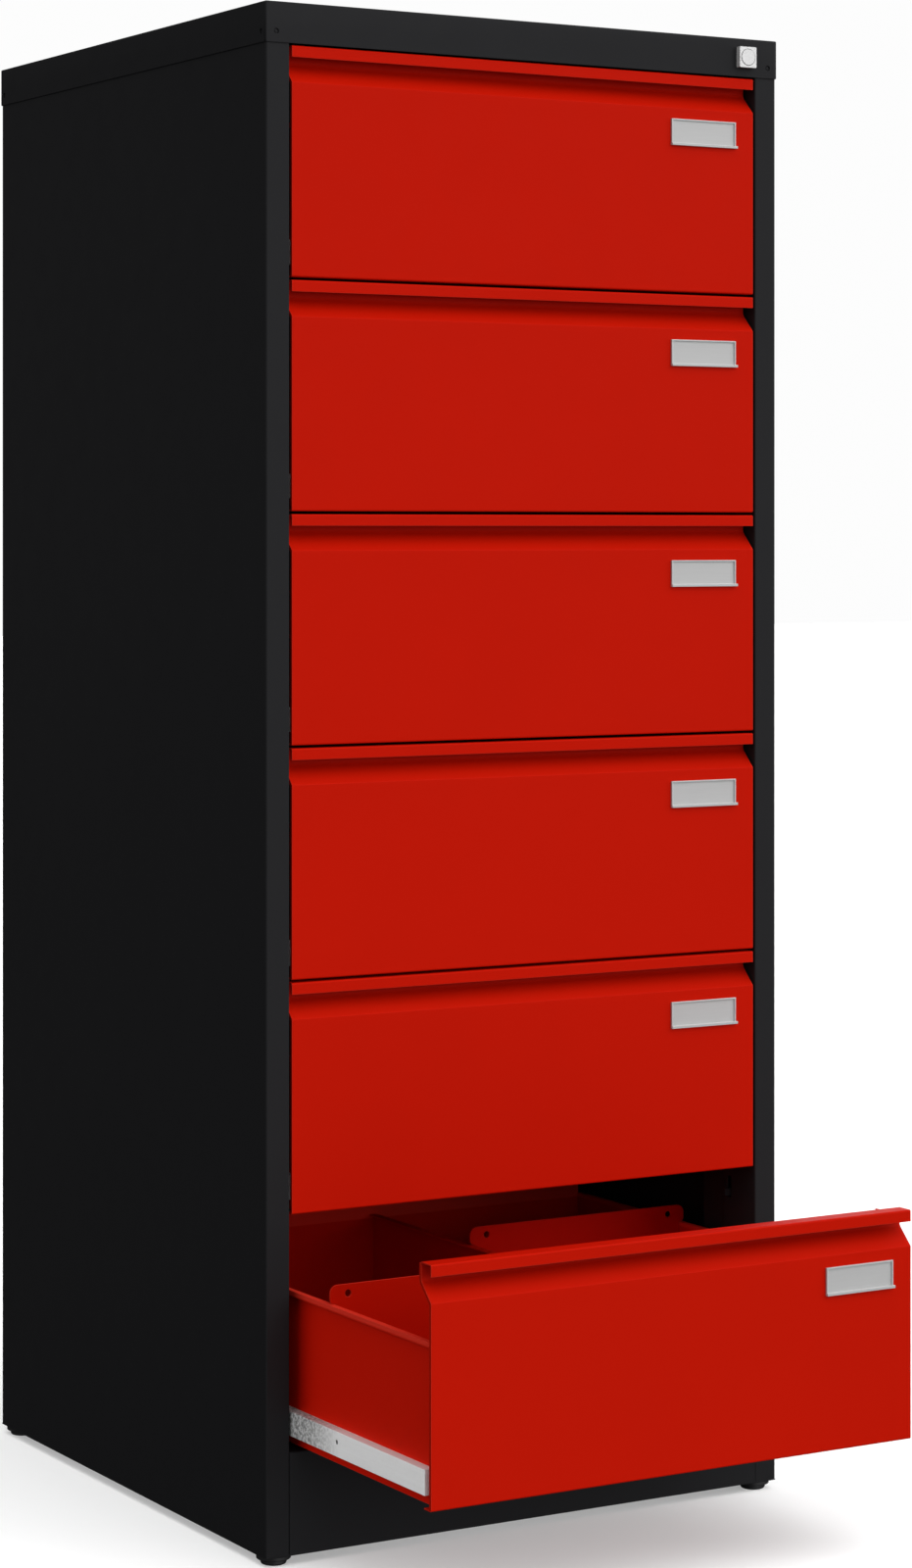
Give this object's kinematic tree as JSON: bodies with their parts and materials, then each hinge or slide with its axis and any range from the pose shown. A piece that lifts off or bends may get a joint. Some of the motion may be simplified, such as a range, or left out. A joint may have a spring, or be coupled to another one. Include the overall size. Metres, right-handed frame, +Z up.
{
  "type": "card index cabinet",
  "caption": "Tall black steel card index cabinet with red two-row drawers on ball runners, hand recesses, label holders and a gang lock",
  "frame": {"origin": "on the floor, in the middle of the box that the cabinet fills with its lowest drawer open as shown", "axes": "+Z up, the front and the drawers face -Y, +X to the right seen from the front"},
  "size_m": [0.515, 0.7774, 1.295],
  "materials": {
    "carcass_black": "satin powder coat",
    "drawer_red": "satin powder coat",
    "bright_zinc": "zinc plated",
    "label_silver": "satin silver",
    "lock_silver": "satin nickel",
    "foot_black": "moulded"
  },
  "bodies": {
    "root": {"side_panel_left": "carcass_black", "side_panel_right": "carcass_black", "back_panel": "carcass_black", "base_pan": "carcass_black", "top_cover": "carcass_black", "uprights": "carcass_black", "cabinet_runners": "bright_zinc", "feet": "foot_black", "lock_housing": "lock_silver"},
    "drawer_1": {"drawer_1_front": "drawer_red", "drawer_1_label_holder": "label_silver", "drawer_1_tray": "drawer_red", "drawer_1_divider": "drawer_red", "drawer_1_runners": "bright_zinc"},
    "drawer_1_cages": {"drawer_1_ball_cages": "bright_zinc"},
    "drawer_1_left_stop": {"drawer_1_follower_left": "drawer_red"},
    "drawer_1_right_stop": {"drawer_1_follower_right": "drawer_red"},
    "drawer_2": {"drawer_2_front": "drawer_red", "drawer_2_label_holder": "label_silver", "drawer_2_tray": "drawer_red", "drawer_2_divider": "drawer_red", "drawer_2_runners": "bright_zinc"},
    "drawer_2_cages": {"drawer_2_ball_cages": "bright_zinc"},
    "drawer_2_left_stop": {"drawer_2_follower_left": "drawer_red"},
    "drawer_2_right_stop": {"drawer_2_follower_right": "drawer_red"},
    "drawer_3": {"drawer_3_front": "drawer_red", "drawer_3_label_holder": "label_silver", "drawer_3_tray": "drawer_red", "drawer_3_divider": "drawer_red", "drawer_3_runners": "bright_zinc"},
    "drawer_3_cages": {"drawer_3_ball_cages": "bright_zinc"},
    "drawer_3_left_stop": {"drawer_3_follower_left": "drawer_red"},
    "drawer_3_right_stop": {"drawer_3_follower_right": "drawer_red"},
    "drawer_4": {"drawer_4_front": "drawer_red", "drawer_4_label_holder": "label_silver", "drawer_4_tray": "drawer_red", "drawer_4_divider": "drawer_red", "drawer_4_runners": "bright_zinc"},
    "drawer_4_cages": {"drawer_4_ball_cages": "bright_zinc"},
    "drawer_4_left_stop": {"drawer_4_follower_left": "drawer_red"},
    "drawer_4_right_stop": {"drawer_4_follower_right": "drawer_red"},
    "drawer_5": {"drawer_5_front": "drawer_red", "drawer_5_label_holder": "label_silver", "drawer_5_tray": "drawer_red", "drawer_5_divider": "drawer_red", "drawer_5_runners": "bright_zinc"},
    "drawer_5_cages": {"drawer_5_ball_cages": "bright_zinc"},
    "drawer_5_left_stop": {"drawer_5_follower_left": "drawer_red"},
    "drawer_5_right_stop": {"drawer_5_follower_right": "drawer_red"},
    "drawer_6": {"drawer_6_front": "drawer_red", "drawer_6_label_holder": "label_silver", "drawer_6_tray": "drawer_red", "drawer_6_divider": "drawer_red", "drawer_6_runners": "bright_zinc"},
    "drawer_6_cages": {"drawer_6_ball_cages": "bright_zinc"},
    "drawer_6_left_stop": {"drawer_6_follower_left": "drawer_red"},
    "drawer_6_right_stop": {"drawer_6_follower_right": "drawer_red"},
    "lock_cylinder": {"lock_plug": "lock_silver", "lock_cam": "bright_zinc"},
    "lock_bar": {"locking_bar": "carcass_black"}
  },
  "joints": [
    {"name": "drawer_1_slide", "type": "slide", "parent": "root", "child": "drawer_1", "axis": [0, -1, 0], "range_m": [0, 0.375]},
    {"name": "drawer_1_cage_roll", "type": "slide", "parent": "root", "child": "drawer_1_cages", "axis": [0, -1, 0], "range_m": [0, 0.1875]},
    {"name": "drawer_1_left_stop_slide", "type": "slide", "parent": "drawer_1", "child": "drawer_1_left_stop", "axis": [0, 1, 0], "range_m": [-0.1703, 0.3093]},
    {"name": "drawer_1_right_stop_slide", "type": "slide", "parent": "drawer_1", "child": "drawer_1_right_stop", "axis": [0, 1, 0], "range_m": [-0.3308, 0.1488]},
    {"name": "drawer_2_slide", "type": "slide", "parent": "root", "child": "drawer_2", "axis": [0, -1, 0], "range_m": [0, 0.375]},
    {"name": "drawer_2_cage_roll", "type": "slide", "parent": "root", "child": "drawer_2_cages", "axis": [0, -1, 0], "range_m": [0, 0.1875]},
    {"name": "drawer_2_left_stop_slide", "type": "slide", "parent": "drawer_2", "child": "drawer_2_left_stop", "axis": [0, 1, 0], "range_m": [-0.1703, 0.3093]},
    {"name": "drawer_2_right_stop_slide", "type": "slide", "parent": "drawer_2", "child": "drawer_2_right_stop", "axis": [0, 1, 0], "range_m": [-0.3308, 0.1488]},
    {"name": "drawer_3_slide", "type": "slide", "parent": "root", "child": "drawer_3", "axis": [0, -1, 0], "range_m": [0, 0.375]},
    {"name": "drawer_3_cage_roll", "type": "slide", "parent": "root", "child": "drawer_3_cages", "axis": [0, -1, 0], "range_m": [0, 0.1875]},
    {"name": "drawer_3_left_stop_slide", "type": "slide", "parent": "drawer_3", "child": "drawer_3_left_stop", "axis": [0, 1, 0], "range_m": [-0.1703, 0.3093]},
    {"name": "drawer_3_right_stop_slide", "type": "slide", "parent": "drawer_3", "child": "drawer_3_right_stop", "axis": [0, 1, 0], "range_m": [-0.3308, 0.1488]},
    {"name": "drawer_4_slide", "type": "slide", "parent": "root", "child": "drawer_4", "axis": [0, -1, 0], "range_m": [0, 0.375]},
    {"name": "drawer_4_cage_roll", "type": "slide", "parent": "root", "child": "drawer_4_cages", "axis": [0, -1, 0], "range_m": [0, 0.1875]},
    {"name": "drawer_4_left_stop_slide", "type": "slide", "parent": "drawer_4", "child": "drawer_4_left_stop", "axis": [0, 1, 0], "range_m": [-0.1703, 0.3093]},
    {"name": "drawer_4_right_stop_slide", "type": "slide", "parent": "drawer_4", "child": "drawer_4_right_stop", "axis": [0, 1, 0], "range_m": [-0.3308, 0.1488]},
    {"name": "drawer_5_slide", "type": "slide", "parent": "root", "child": "drawer_5", "axis": [0, -1, 0], "range_m": [0, 0.375]},
    {"name": "drawer_5_cage_roll", "type": "slide", "parent": "root", "child": "drawer_5_cages", "axis": [0, -1, 0], "range_m": [0, 0.1875]},
    {"name": "drawer_5_left_stop_slide", "type": "slide", "parent": "drawer_5", "child": "drawer_5_left_stop", "axis": [0, 1, 0], "range_m": [-0.1703, 0.3093]},
    {"name": "drawer_5_right_stop_slide", "type": "slide", "parent": "drawer_5", "child": "drawer_5_right_stop", "axis": [0, 1, 0], "range_m": [-0.3308, 0.1488]},
    {"name": "drawer_6_slide", "type": "slide", "parent": "root", "child": "drawer_6", "axis": [0, -1, 0], "range_m": [-0.2303, 0.1447]},
    {"name": "drawer_6_cage_roll", "type": "slide", "parent": "root", "child": "drawer_6_cages", "axis": [0, -1, 0], "range_m": [-0.11515, 0.07235]},
    {"name": "drawer_6_left_stop_slide", "type": "slide", "parent": "drawer_6", "child": "drawer_6_left_stop", "axis": [0, 1, 0], "range_m": [-0.1703, 0.3093]},
    {"name": "drawer_6_right_stop_slide", "type": "slide", "parent": "drawer_6", "child": "drawer_6_right_stop", "axis": [0, 1, 0], "range_m": [-0.3308, 0.1488]},
    {"name": "lock_bar_rise", "type": "slide", "parent": "root", "child": "lock_bar", "axis": [0, 0, 1], "range_m": [0, 0.01]},
    {"name": "lock_turn", "type": "hinge", "parent": "root", "child": "lock_cylinder", "pos_m": [0.2228, -0.15545, 1.27798], "axis": [0, -1, 0], "range_deg": [0, 90]}
  ],
  "couplings": [
    {"joint": "drawer_1_cage_roll", "follows": "drawer_1_slide", "ratio": 0.5},
    {"joint": "drawer_2_cage_roll", "follows": "drawer_2_slide", "ratio": 0.5},
    {"joint": "drawer_3_cage_roll", "follows": "drawer_3_slide", "ratio": 0.5},
    {"joint": "drawer_4_cage_roll", "follows": "drawer_4_slide", "ratio": 0.5},
    {"joint": "drawer_5_cage_roll", "follows": "drawer_5_slide", "ratio": 0.5},
    {"joint": "drawer_6_cage_roll", "follows": "drawer_6_slide", "ratio": 0.5},
    {"joint": "lock_turn", "follows": "lock_bar_rise", "rad_per_m": 157.07}
  ]
}
